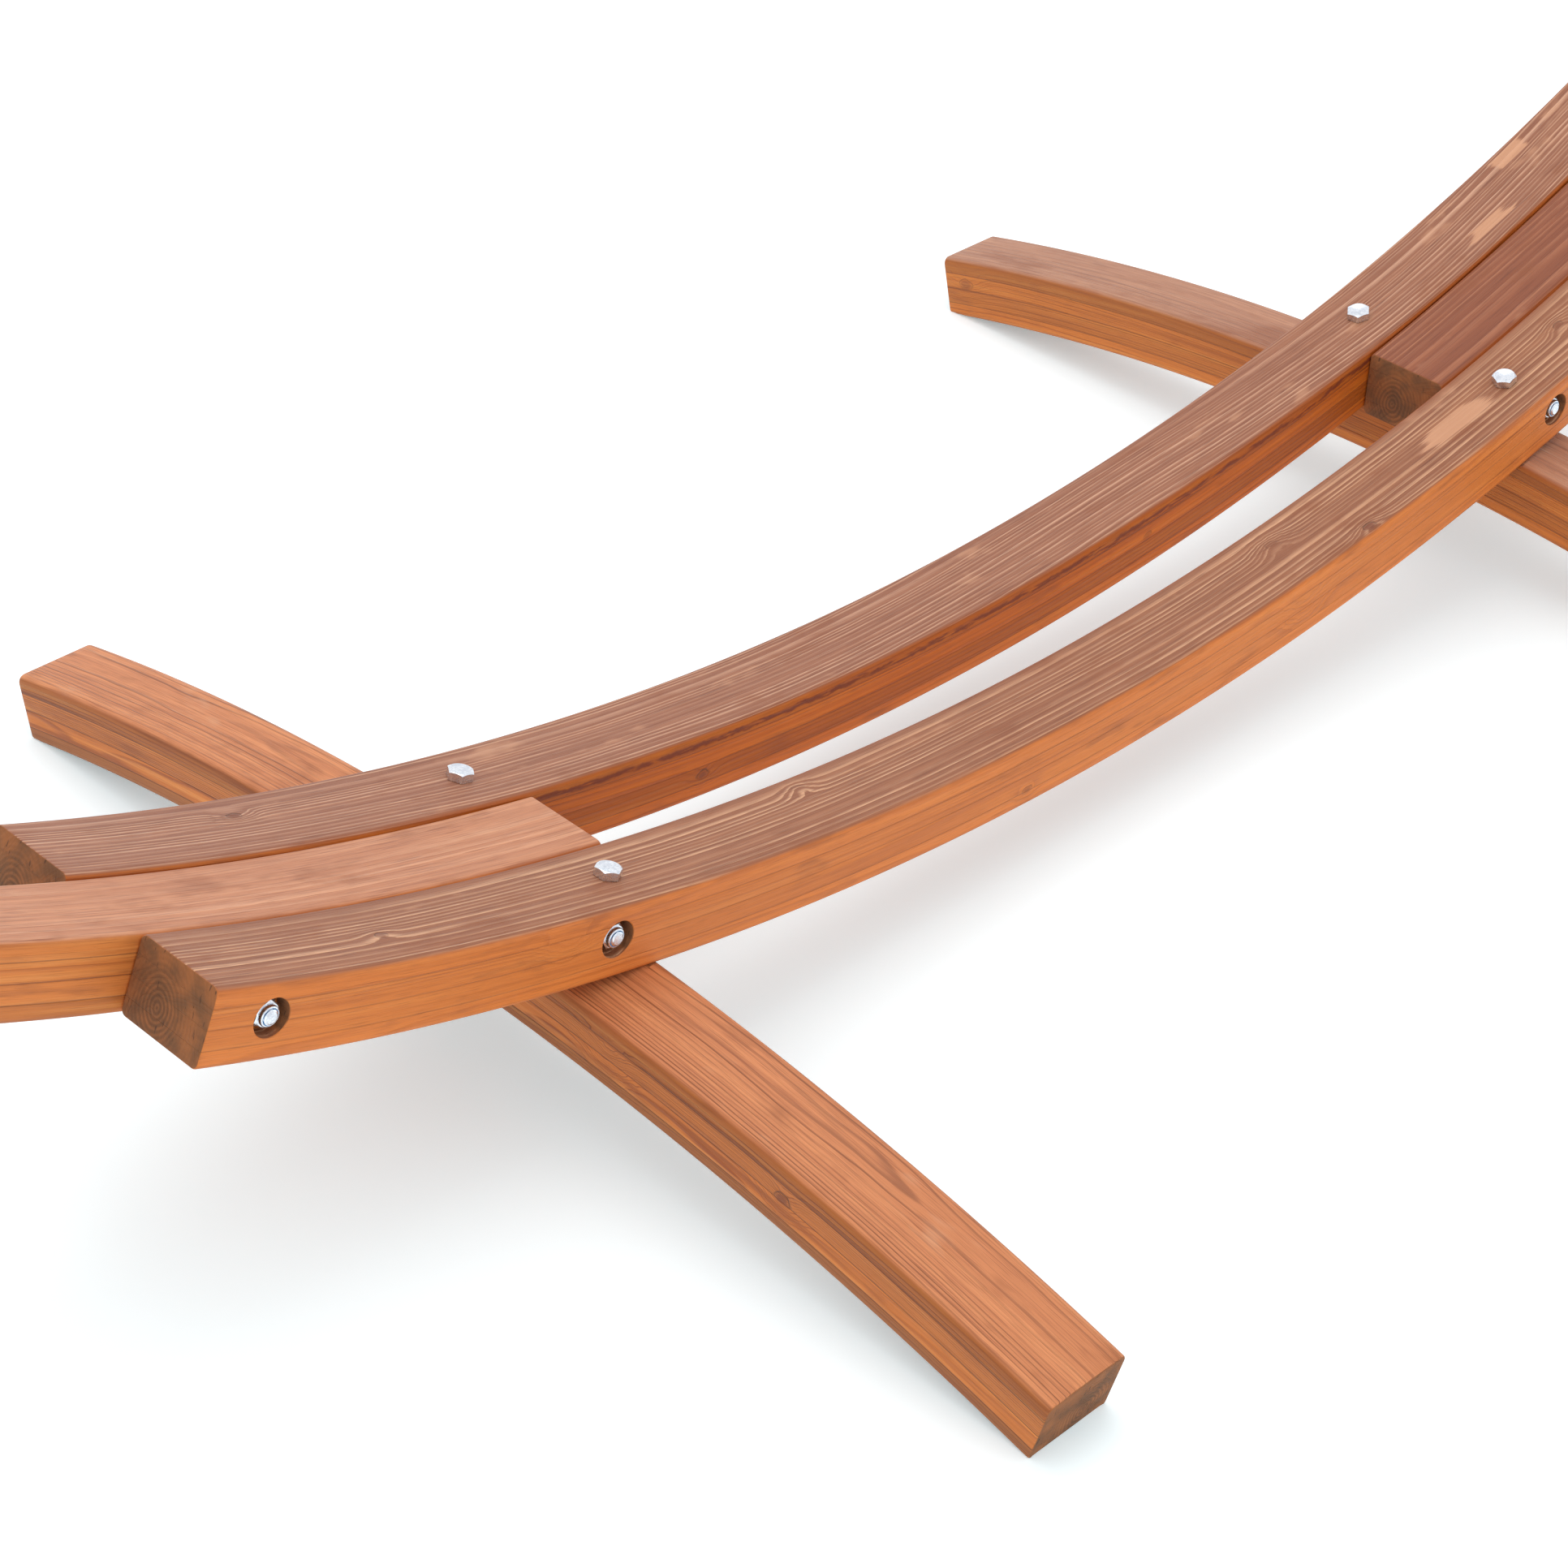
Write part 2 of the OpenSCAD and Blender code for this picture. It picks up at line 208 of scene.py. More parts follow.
def washer(diameter, hole, height):
    """Flat ring from z = 0 up, with eased edges."""
    ease = 0.35
    outer, inner = diameter / 2, hole / 2
    return ring_lathe(
        [
            (inner, ease),
            (inner + ease, 0),
            (outer - ease, 0),
            (outer, ease),
            (outer, height - ease),
            (outer - ease, height),
            (inner + ease, height),
            (inner, height - ease),
        ]
    )


def threaded(diameter, length, thread, pitch=1.75):
    """Bolt shank from z = 0 down, with a rolled thread over its lowest part and a turned end."""
    crest, root, z = diameter / 2, diameter / 2 - 0.61 * pitch, -length
    profile = [(root - 0.6, z), (root, z + 0.6)]
    z += 0.9
    while z < -length + thread:
        profile += [(crest - 0.08, z), (crest - 0.08, z + 0.2 * pitch), (root, z + 0.6 * pitch)]
        z += pitch
    return lathe(profile + [(crest, z), (crest, 0)], steps=40)


def tube(path, normal, radius, steps=20, swell=None):
    """Round wire along a flat closed path of points, whose plane has this normal."""
    path = np.asarray(path, float)
    ahead = np.roll(path, -1, 0) - np.roll(path, 1, 0)
    ahead /= np.linalg.norm(ahead, axis=1, keepdims=True)
    normal = np.asarray(normal, float)
    side = np.cross(normal, ahead)
    turn = np.linspace(0, 2 * math.pi, steps, endpoint=False)
    grow = np.ones(len(path)) if swell is None else swell
    rows = [
        path[i] + radius * grow[i] * (np.cos(a) * side[i] + np.sin(a) * normal)
        for i in range(len(path))
        for a in turn
    ]
    return rows, [f[::-1] for f in strips(len(path), steps, closed_rows=True)]


def bow(centre_z, radius, start, end, steps=20):
    """Points of a bow in the XZ plane, from one angle to another, counted from +X towards +Z."""
    angles = np.radians(np.linspace(start, end, steps))
    return [(radius * math.cos(a), 0, centre_z + radius * math.sin(a)) for a in angles]


def join(name, parts):
    """One object of several (verts, faces, matrix)."""
    made = [make(name, v, f, m) for v, f, m in parts]
    with bpy.context.temp_override(
        active_object=made[0], object=made[0], selected_editable_objects=made, selected_objects=made
    ):
        bpy.ops.object.join()
    return made[0]


def carved(obj, cutters):
    """Takes each cutter out of obj, one after another, and applies it."""
    for cutter in cutters:
        tool = obj.modifiers.new("cut", "BOOLEAN")
        tool.operation, tool.solver, tool.object = "DIFFERENCE", "EXACT", cutter
    graph = bpy.context.evaluated_depsgraph_get()
    mesh = bpy.data.meshes.new_from_object(obj.evaluated_get(graph), depsgraph=graph)
    obj.modifiers.clear()
    obj.data = mesh
    mesh.shade_smooth()
    mesh.set_sharp_from_angle(angle=CREASE)
    for cutter in cutters:
        bpy.data.objects.remove(cutter)
    return obj


def section(half_w, half_h, edge, flats=4, corner=6):
    """Rounded rectangle as (across, outward) points, with its flats in equal parts."""
    points = []
    for quarter in range(4):
        a0 = quarter * math.pi / 2
        cx = (half_w - edge) * (1 if quarter in (0, 3) else -1)
        cy = (half_h - edge) * (1 if quarter in (0, 1) else -1)
        turn = [a0 + i * math.pi / 2 / corner for i in range(corner + 1)]
        arc = [(cx + edge * math.cos(a), cy + edge * math.sin(a)) for a in turn]
        points += arc
        a1 = a0 + math.pi / 2
        nx = (half_w - edge) * (1 if (quarter + 1) % 4 in (0, 3) else -1)
        ny = (half_h - edge) * (1 if (quarter + 1) % 4 in (0, 1) else -1)
        start, end = arc[-1], (nx + edge * math.cos(a1), ny + edge * math.sin(a1))
        for i in range(1, flats):
            t = i / flats
            points.append((start[0] + (end[0] - start[0]) * t, start[1] + (end[1] - start[1]) * t))
    return points


def swept(radius, half_w, half_h, edge, ends, point, ease=1.6, stations=160):
    """Beam along an arc, with eased ends.

    ends(r) gives its two end angles at a radius, and point(angle, r, across) a place."""
    quarter = np.linspace(0, math.pi / 2, 4)[::-1]
    eased = [(ease * (1 - math.sin(p)), ease * (1 - math.cos(p))) for p in quarter]
    rows = [("start", along, inset) for along, inset in eased]
    rows += [("mid", t, 0) for t in np.linspace(0, 1, stations)[1:-1]]
    rows += [("end", along, inset) for along, inset in eased[::-1]]
    verts = []
    for kind, value, inset in rows:
        for across, out in section(half_w - inset, half_h - inset, max(edge - inset, 0.5)):
            r = radius + out
            a0, a1 = (math.radians(a) for a in ends(r))
            if kind == "start":
                a = a0 + value / r
            elif kind == "end":
                a = a1 - value / r
            else:
                a = a0 + (ease / r) + (a1 - a0 - 2 * ease / r) * value
            verts.append(point(a, r, across))
    cols = len(verts) // len(rows)
    last = (len(rows) - 1) * cols
    caps = [tuple(range(cols))[::-1], tuple(range(last, last + cols))]
    return verts, strips(len(rows), cols) + caps


def on_arc(angle, radius, y=0.0, side=1):
    """Matrix that puts +Z towards the arc's centre, at an angle and radius. side -1 mirrors it to the left."""
    place = (
        Matrix.Translation((0, y, ARC_Z))
        @ Matrix.Rotation(-math.radians(angle), 4, "Y")
        @ Matrix.Translation((0, 0, -radius))
    )
    return Matrix.Diagonal((side, 1, 1, 1)) @ place


def on_clamp(angle, y, out, side):
    """Matrix for a cross bolt's pieces, with +Z along Y towards the given side."""
    return on_arc(angle, CLAMP_R, y, side) @ Matrix.Rotation(math.radians(-90 * out), 4, "X")


def outward(obj):
    """Turns every face of a closed mesh outwards."""
    mesh = obj.data
    mesh.calc_loop_triangles()
    volume = sum(
        mesh.vertices[a].co.dot(mesh.vertices[b].co.cross(mesh.vertices[c].co))
        for a, b, c in (t.vertices for t in mesh.loop_triangles)
    )
    if volume < 0:
        mesh.flip_normals()
    return obj


# ---------------------------------------------------------------- timbers


def hanging_point(side=1, y=0.0):
    """Places a point of a timber that hangs below the arc's centre. side -1 mirrors it to the left."""
    return lambda a, r, across: (side * r * math.sin(a), y + across, ARC_Z - r * math.cos(a))


def standing_point(x):
    """Places a point of a foot, which arches over its own centre and is planed flat on the floor."""
    return lambda a, r, across: (x + across, r * math.sin(a), max(FOOT_Z + r * math.cos(a), 0.0))


def bore(radius, deep, place):
    """Cutter that runs from z = -deep to past the surface at z = 0, with a small chamfer at its mouth."""
    flare = 0.5
    profile = [(radius, -deep), (radius, -flare), (radius + flare, 0), (radius + flare + 2, 2)]
    return outward(make("cut", *lathe(profile, 56), place))


def timber_rail(name, y_side):
    """Rail with plumb ends, counterbores for the cross bolts and holes for the upright ones."""
    y = y_side * RAIL_Y
    ends = lambda r: (-RAIL_END, RAIL_END)
    verts, faces = swept(ARC_R, RAIL_W / 2, RAIL_H / 2, EDGE_R, ends, hanging_point(1, y), stations=200)
    rail = outward(make(name, verts, faces))
    face_y = y + y_side * RAIL_W / 2
    cutters = []
    for side in SIDES.values():
        for angle in CLAMP_ANGLES:
            place = on_clamp(angle, face_y, y_side, side)
            cutters.append(bore(COUNTERBORE_R, CLAMP_COUNTERBORE, place))
            cutters.append(bore(BOLT_HOLE_D / 2, RAIL_W + 2, place))
        place = on_arc(SEAT_BOLT_ANGLE, RAIL_TOP_R, y, side)
        cutters.append(bore(BOLT_HOLE_D / 2, RAIL_H + 2, place))
    return carved(rail, cutters)


def timber_arm(name, side):
    """Arm with a plumb inner end, bored for the cross bolts and for the eye bolt."""

    def ends(r):
        return math.degrees(math.asin(ARM_INNER_X / r)), ARM_TIP

    verts, faces = swept(
        ARM_FACE_R + ARM_H / 2, ARM_W / 2, ARM_H / 2, EDGE_R, ends, hanging_point(side), stations=220
    )
    arm = outward(make(name, verts, faces))
    cutters = [
        bore(BOLT_HOLE_D / 2, ARM_W + 2, on_clamp(angle, ARM_W / 2, 1, side))
        for angle in CLAMP_ANGLES
    ]
    cutters.append(bore(EYE_HOLE / 2, ARM_H + 2, on_arc(EYE_ANGLE, ARM_FACE_R, 0, side)))
    return carved(arm, cutters)


def seat_cutter(under_r, half_width, side):
    """Block whose underside follows the underside of a timber that lies in the foot."""
    half_depth, ease = 30.0, 0.5
    ends = lambda r: SEAT_SPAN
    radius = under_r + TOUCH - half_depth
    verts, faces = swept(
        radius, half_width, half_depth, ease, ends, hanging_point(side), ease=ease, stations=40
    )
    return outward(make("cut", verts, faces))


def timber_foot(name, side):
    """Foot with seats for the rails and the arm, bolt holes, and counterbores for the nuts underneath."""
    ends = lambda r: (-FOOT_END, FOOT_END)
    verts, faces = swept(
        FOOT_R, FOOT_W / 2, FOOT_H / 2, FOOT_EDGE_R, ends, standing_point(side * FOOT_X), stations=150
    )
    foot = outward(make(name, verts, faces))
    cutters = [
        seat_cutter(RAIL_TOP_R + RAIL_H, RAIL_Y + RAIL_W / 2 + 0.5, side),
        seat_cutter(ARM_UNDER_R, RAIL_Y - RAIL_W / 2, side),
    ]
    for y in (-RAIL_Y, RAIL_Y):
        for radius, above in ((BOLT_HOLE_D / 2, RAIL_H), (COUNTERBORE_R, 0)):
            place = on_arc(SEAT_BOLT_ANGLE, SEAT_NUT_R - above, y, side)
            profile = [(radius, -above - CUT_PAST), (radius, 0)]
            cutters.append(outward(make("cut", *lathe(profile, 56), place)))
    return carved(foot, cutters)


# ---------------------------------------------------------------- shading


class Graph:
    """Short forms for building a shader."""

    def __init__(self, tree):
        self.tree = tree
        self.tree.nodes.clear()

    def node(self, kind, **settings):
        made = self.tree.nodes.new("ShaderNode" + kind)
        for key, value in settings.items():
            setattr(made, key, value)
        return made

    def put(self, socket, value):
        if isinstance(value, bpy.types.NodeSocket):
            self.tree.links.new(value, socket)
        elif value is not None:
            socket.default_value = value

    def math(self, operation, a, b=None):
        made = self.node("Math", operation=operation)
        for socket, value in zip(made.inputs, (a, b)):
            self.put(socket, value)
        return made.outputs[0]

    def add(self, a, b):
        return self.math("ADD", a, b)

    def sub(self, a, b):
        return self.math("SUBTRACT", a, b)

    def mul(self, a, b):
        return self.math("MULTIPLY", a, b)

    def combine(self, x, y, z):
        made = self.node("CombineXYZ")
        for socket, value in zip(made.inputs, (x, y, z)):
            self.put(socket, value)
        return made.outputs[0]

    def separate(self, vector):
        made = self.node("SeparateXYZ")
        self.put(made.inputs[0], vector)
        return made.outputs

    def length(self, *axes):
        """Root of the sum of squares of two or three values."""
        total = None
        for axis in axes:
            square = self.mul(axis, axis)
            total = square if total is None else self.add(total, square)
        return self.math("SQRT", total)

    def noise(self, vector, scale=1.0, detail=2.0, rough=0.5):
        made = self.node("TexNoise")
        self.put(made.inputs["Vector"], vector)
        for key, value in (("Scale", scale), ("Detail", detail), ("Roughness", rough)):
            made.inputs[key].default_value = value
        return made.outputs["Fac"]

    def span(self, value, low, high, to_low=0.0, to_high=1.0, smooth=True):
        made = self.node("MapRange", interpolation_type="SMOOTHSTEP" if smooth else "LINEAR")
        keys = ("Value", "From Min", "From Max", "To Min", "To Max")
        for key, put in zip(keys, (value, low, high, to_low, to_high)):
            self.put(made.inputs[key], put)
        return made.outputs[0]

    def mix(self, factor, a, b, blend="MIX"):
        made = self.node("Mix", data_type="RGBA", blend_type=blend)
        self.put(made.inputs[0], factor)
        for socket, value in ((made.inputs[6], a), (made.inputs[7], b)):
            self.put(socket, (*value, 1) if isinstance(value, tuple) else value)
        return made.outputs[2]

    def stain(self, colour, mask, amount, tone):
        """Colour with a tone laid over it where the mask says, at most this strong."""
        return self.mix(self.mul(mask, amount), colour, tone)

    def tinted(self, colour, tint):
        return self.mix(1.0, colour, tint, "MULTIPLY")

    def bump(self, height, distance, strength=1.0):
        made = self.node("Bump")
        self.put(made.inputs["Height"], height)
        made.inputs["Distance"].default_value = distance
        made.inputs["Strength"].default_value = strength
        return made.outputs[0]

    def finish(self, colour, roughness, normal=None, **values):
        shader = self.node("BsdfPrincipled")
        self.put(shader.inputs["Base Color"], colour)
        self.put(shader.inputs["Roughness"], roughness)
        self.put(shader.inputs["Normal"], normal)
        for key, value in values.items():
            shader.inputs[key.replace("_", " ")].default_value = value
        out = self.node("OutputMaterial")
        self.tree.links.new(shader.outputs[0], out.inputs[0])


def new_material(name):
    made = bpy.data.materials.new(name)
    made.use_nodes = True
    return made, Graph(made.node_tree)


# ---------------------------------------------------------------- larch

END_PITH = (9.0, -9.0)  # middle of the growth rings on an end, (across, up) in millimetres
END_RING = 3.4
PLIES = 4
BUMP_DEPTH = 0.0009

# Stained larch in linear colour. Sides are golden orange, and tops are painted paler and pinker: a painted
# sheen of the light from above.
SIDE_BASE, SIDE_LATE = (0.70, 0.220, 0.046), (0.36, 0.082, 0.014)
SIDE_PALE, SIDE_DARK, SIDE_WORN = (0.86, 0.33, 0.085), (0.42, 0.115, 0.026), (0.36, 0.175, 0.085)
TOP_BASE_AND_SHEEN, TOP_PALE = (0.345, 0.122, 0.062), (0.50, 0.20, 0.105)
TOP_LINE_PALE, TOP_LINE_DARK = (0.76, 0.40, 0.255), (0.10, 0.026, 0.010)
TOP_FIBRE, TOP_DASH = (0.23, 0.073, 0.040), (0.17, 0.048, 0.026)
PORES, BLOTCH_DARK, BLOTCH_PALE = (0.20, 0.052, 0.014), (0.28, 0.075, 0.020), (0.68, 0.34, 0.19)
FILLER, EDGE_STAIN, UNDERSIDE_SHADE = (0.72, 0.36, 0.20), (0.33, 0.088, 0.026), (0.26, 0.085, 0.032)
GLUE_LINE, TORN_GLUE = (0.15, 0.040, 0.016), (0.17, 0.030, 0.012)
KNOT_HEART, KNOT_RIM = (0.20, 0.050, 0.018), (0.075, 0.022, 0.010)
END_BASE, END_WARM, END_EDGE = (0.190, 0.080, 0.033), (0.34, 0.122, 0.040), (0.42, 0.16, 0.06)
END_LINE, END_CHECK = (0.075, 0.036, 0.018), (0.04, 0.022, 0.014)


class Larch:
    """One bent timber, drawn in its own unbent millimetres: S along, T across and H up through its depth."""

    def __init__(self, g, width, depth, seed, lines, grain):
        self.g, self.width, self.depth, self.seed = g, width, depth, seed
        self.lines, self.grain = lines, grain

    def waver(self, along, across, up, size, **noise):
        """Smooth wander about zero, this wide in all, from a noise read at (along, across, up)."""
        g = self.g
        return g.mul(g.sub(g.noise(g.combine(along, across, up), 1.0, **noise), 0.5), size)

    def lay_out(self, standing, radius, middle):
        """Where a point lies in the board, and how far its surface faces up, down or along."""
        g = self.g
        x, y, z = g.separate(g.node("TexCoord").outputs["Object"])
        across, along = (x, y) if standing else (y, x)
        rise = g.sub(z, FOOT_Z * MM) if standing else g.sub(ARC_Z * MM, z)
        angle = g.math("ARCTAN2", along, rise)
        out = g.sub(g.mul(g.length(along, rise), 1 / MM), radius)
        self.S = g.mul(angle, radius)
        self.T = g.mul(g.sub(across, middle * MM), 1 / MM)
        self.H = out if standing else g.mul(out, -1)

        nx, ny, nz = g.separate(g.node("NewGeometry").outputs["Normal"])
        n_along = ny if standing else nx
        up_share, along_share = g.math("COSINE", angle), g.math("SINE", angle)
        if standing:
            faces_up = g.add(g.mul(nz, up_share), g.mul(n_along, along_share))
            faces_along = g.sub(g.mul(n_along, up_share), g.mul(nz, along_share))
        else:
            faces_up = g.sub(g.mul(nz, up_share), g.mul(n_along, along_share))
            faces_along = g.add(g.mul(n_along, up_share), g.mul(nz, along_share))
        self.top = g.span(faces_up, 0.55, 0.93)
        self.side = g.sub(1.0, self.top)
        self.under = g.span(faces_up, -0.6, -0.95)
        self.end = g.span(g.math("ABSOLUTE", faces_along), 0.55, 0.8)
        self.corner = g.length(
            g.math("MAXIMUM", g.sub(self.width / 2, g.math("ABSOLUTE", self.T)), 0.0),
            g.math("MAXIMUM", g.sub(self.depth / 2, g.math("ABSOLUTE", self.H)), 0.0),
        )

    def lay_plies(self):
        """Plies through the depth, each with tones of its own, and the glue between them."""
        g = self.g
        layer = g.add(g.mul(self.H, 0.965 * PLIES / self.depth), PLIES / 2)
        self.ply = g.math("FLOOR", layer)
        into = g.math("FRACT", layer)
        near_glue = g.mul(g.math("MINIMUM", into, g.sub(1.0, into)), self.depth / PLIES)
        wander = self.waver(g.mul(self.S, 0.02), self.seed, self.ply, 0.8)
        self.glue = g.span(g.add(near_glue, wander), 0.1, 0.75, 1.0, 0.0)
        white = g.node("TexWhiteNoise", noise_dimensions="1D")
        g.put(white.inputs["W"], g.add(g.mul(self.ply, 1.37), self.seed * 3.1))
        self.tones = g.separate(white.outputs["Color"])
        self.is_top = g.math("GREATER_THAN", self.ply, PLIES - 1.5)

    def grow(self, pith):
        """Distance from the pith, which is at a known place in the top ply and a random one in the others."""
        g, is_top = self.g, self.is_top
        below = g.sub(1.0, is_top)
        pith_t = g.add(g.mul(is_top, pith[0]), g.mul(below, g.mul(g.sub(self.tones[0], 0.5), 150)))
        pith_h = g.add(g.mul(is_top, pith[1]), g.mul(below, g.sub(-12.0, g.mul(self.tones[1], 70))))
        drift = self.waver(
            g.mul(self.S, 0.0012), g.mul(self.T, 0.002), g.add(self.ply, self.seed), 44, detail=1.0, rough=0.4
        )
        ripple = self.waver(g.mul(self.S, 0.006), g.mul(self.T, 0.03), g.add(self.ply, self.seed + 9), 3.2)
        ring_t = g.add(g.sub(self.T, pith_t), drift)
        ring_h = g.add(g.sub(self.H, pith_h), g.mul(drift, 0.5))
        self.rings = g.add(g.length(ring_t, ring_h), ripple)

    def add_knots(self, knots):
        """Each knot pushes the growth rings aside, and has a dark heart with a lopsided rim."""
        g = self.g
        self.knot_heart, self.knot_rim = 0.0, 0.0
        for along, place, size, on_top, heart in knots:
            beside = g.sub(self.T if on_top else self.H, place)
            far = g.length(g.mul(g.sub(self.S, along), 0.62), beside)
            wobble = self.waver(*(g.mul(axis, 0.1) for axis in (self.S, self.T, self.H)), size)
            far = g.add(far, wobble)
            only = self.top if on_top else self.side
            push = g.mul(g.math("EXPONENT", g.mul(g.mul(far, far), -1.0 / (2.1 * size) ** 2)), 1.5 * size)
            self.rings = g.add(self.rings, g.mul(push, only))
            if heart:
                dark = g.span(far, size * 0.35, size * 0.85, heart, 0.0)
                self.knot_heart = g.math("MAXIMUM", self.knot_heart, g.mul(dark, only))
                lopsided = g.span(g.add(beside, wobble), -size, size, 0.25, 1.0)
                rim = g.span(g.math("ABSOLUTE", g.sub(far, size * 0.8)), 0.0, 1.1, heart, 0.0)
                self.knot_rim = g.math("MAXIMUM", self.knot_rim, g.mul(g.mul(rim, lopsided), only))

    def figure(self, ring):
        """Latewood of the growth rings, and the fibres, streaks and blotches between them."""
        g, S, T, H, seed = self.g, self.S, self.T, self.H, self.seed
        uneven = self.waver(g.mul(self.rings, 0.05), seed, self.ply, 5.0, detail=1.0)
        years = g.add(g.mul(self.rings, 1.0 / ring), uneven)
        phase, number = g.math("FRACT", years), g.math("FLOOR", years)
        year = g.noise(g.combine(g.mul(number, 0.77), g.add(self.ply, seed), g.mul(S, 0.0015)), 1.0, 1.0)
        swell = g.span(phase, 0.35 if self.lines > 0 else 0.62, 0.86)
        late = g.mul(swell, g.span(phase, 0.9, 1.0, 1.0, 0.0))
        self.late = g.mul(late, g.span(year, 0.36, 0.62, 0.25, 1.0))
        dash = g.noise(g.combine(g.mul(S, 0.02), g.mul(T, 1.3), g.mul(H, 1.3)), 1.0, 1.0)
        gather = g.noise(g.combine(g.mul(S, 0.004), g.mul(T, 0.03), seed), 1.0)
        self.dash = g.span(g.add(dash, g.mul(gather, 0.25)), 0.71, 0.80)
        self.fibre = g.noise(g.combine(g.mul(S, 0.006), g.mul(T, 0.75), g.mul(H, 0.75)), 1.0, 3.0, 0.6)
        self.fine = g.noise(g.combine(g.mul(S, 0.03), g.mul(T, 2.2), g.mul(H, 2.2)), 1.0, 2.0, 0.6)
        slow = g.combine(g.mul(S, 0.012), g.mul(T, 0.03), g.add(g.mul(H, 0.05), seed))
        self.blotch = g.noise(slow, 1.0, 3.0, 0.6)
        drawn = g.combine(g.mul(S, 0.0028), g.mul(T, 0.12), g.add(g.mul(H, 0.17), seed))
        self.streak = g.noise(drawn, 1.0, 2.5, 0.55)

    def side_colour(self, tint):
        g, grain, streak = self.g, self.grain, self.streak
        colour = g.stain(SIDE_BASE, self.late, 0.5 * grain, SIDE_LATE)
        colour = g.stain(colour, g.span(streak, 0.50, 0.68), 0.5 * grain, SIDE_PALE)
        colour = g.stain(colour, g.span(streak, 0.46, 0.30), 0.5 * grain, SIDE_DARK)
        colour = g.stain(colour, self.tones[1], 0.45 * max(grain - 1.0, 0.0), SIDE_WORN)
        tone = g.add(1.0 - 0.22 * grain, g.mul(self.tones[2], 0.36 * grain))
        return g.tinted(g.tinted(colour, g.combine(tone, tone, tone)), tint)

    def top_colour(self, tint):
        # The top's base colour and tint are partly painted light: a paler, pinker sheen and brighter light on
        # faces that look up.
        g = self.g
        line_colour = TOP_LINE_PALE if self.lines > 0 else TOP_LINE_DARK
        colour = g.stain(TOP_BASE_AND_SHEEN, self.late, abs(self.lines), line_colour)
        colour = g.stain(colour, g.span(self.fibre, 0.52, 0.66), 0.55, TOP_FIBRE)
        colour = g.stain(colour, g.span(self.streak, 0.48, 0.66), 0.35, TOP_PALE)
        return g.tinted(g.stain(colour, self.dash, 0.55, TOP_DASH), tint)

    def end_colour(self):
        """End grain drinks more stain: dark olive brown with warmer arcs."""
        g, T, H, seed = self.g, self.T, self.H, self.seed
        bow_t = g.add(T, self.waver(g.mul(T, 0.03), g.mul(H, 0.03), seed, 10))
        bows = g.length(g.sub(bow_t, END_PITH[0]), g.mul(g.sub(H, END_PITH[1]), 0.8))
        phase = g.math("FRACT", g.mul(bows, 1.0 / END_RING))
        line = g.span(g.math("ABSOLUTE", g.sub(phase, 0.5)), 0.05, 0.4)
        core = g.span(bows, 6, 34, 1.0, 0.15)
        cloud = g.noise(g.combine(g.mul(T, 0.06), g.mul(H, 0.06), seed + 2), 1.0, 3.0)
        check = g.noise(g.combine(g.mul(T, 0.35), g.mul(H, 0.08), seed), 1.0, 3.0)
        colour = g.mix(g.span(cloud, 0.30, 0.70), END_BASE, END_WARM)
        colour = g.stain(colour, g.mul(line, core), 0.5, END_LINE)
        colour = g.stain(colour, g.span(self.corner, 1.5, 5.0, 1.0, 0.0), 0.35, END_EDGE)
        return g.stain(colour, g.span(check, 0.62, 0.7), 0.6, END_CHECK)

    def filled(self, colour, patches):
        """Pale patches of filler with ragged edges, on the top."""
        g = self.g
        for along, place, half_long, half_wide in patches:
            beyond = g.math(
                "MAXIMUM",
                g.mul(g.math("ABSOLUTE", g.sub(self.S, along)), 1.0 / half_long),
                g.mul(g.math("ABSOLUTE", g.sub(self.T, place)), 1.0 / half_wide),
            )
            ragged = g.add(beyond, g.mul(g.sub(g.add(self.streak, self.fibre), 1.0), 1.3))
            colour = g.stain(colour, g.mul(g.span(ragged, 0.7, 0.95, 1.0, 0.0), self.top), 0.75, FILLER)
        return colour

    def torn_glue(self, height):
        """Mask of a glue line that has opened here and there along a side."""
        g = self.g
        wander = self.waver(g.mul(self.S, 0.035), self.seed, 0.0, 11, detail=3.0, rough=0.65)
        off = g.add(g.sub(self.H, height), wander)
        broken = g.noise(g.combine(g.mul(self.S, 0.04), g.mul(self.H, 0.25), self.seed + 4), 1.0, 3.0)
        line = g.span(g.math("ABSOLUTE", off), 1.2, 3.4, 1.0, 0.0)
        return g.mul(line, g.mul(g.span(broken, 0.36, 0.52), self.side))

    def colour(self, side_tint, top_tint_and_light, patches, seam):
        g, top = self.g, self.top
        colour = g.mix(top, self.side_colour(side_tint), self.top_colour(top_tint_and_light))
        colour = g.stain(colour, g.span(self.fine, 0.5, 0.72), 0.40, PORES)
        colour = g.stain(colour, g.span(self.blotch, 0.54, 0.74), 0.5, BLOTCH_DARK)
        colour = g.stain(colour, g.mul(g.span(self.blotch, 0.40, 0.26), top), 0.45, BLOTCH_PALE)
        colour = self.filled(colour, patches)
        # Stain gathers along the rounded edges and in the glue lines.
        to_edge = g.add(self.corner, g.mul(g.sub(self.blotch, 0.5), 12))
        colour = g.stain(colour, g.span(to_edge, 0.5, 4.5, 1.0, 0.0), 0.5, EDGE_STAIN)
        colour = g.stain(colour, g.mul(self.glue, self.side), 0.4 * self.grain, GLUE_LINE)
        if seam is not None:
            colour = g.stain(colour, self.torn_glue(seam), 0.85, TORN_GLUE)
        # Painted shade: faces that look down are darkened.
        colour = g.stain(colour, self.under, 0.5, UNDERSIDE_SHADE)
        colour = g.stain(colour, self.knot_heart, 0.8, KNOT_HEART)
        colour = g.stain(colour, self.knot_rim, 0.85, KNOT_RIM)
        return g.mix(self.end, colour, self.end_colour())

    def roughness(self):
        g = self.g
        rough = g.add(g.sub(0.58, g.mul(self.top, 0.12)), g.mul(g.sub(self.fibre, 0.5), 0.28))
        return g.add(g.sub(rough, g.mul(self.late, 0.06)), g.mul(self.end, 0.28))

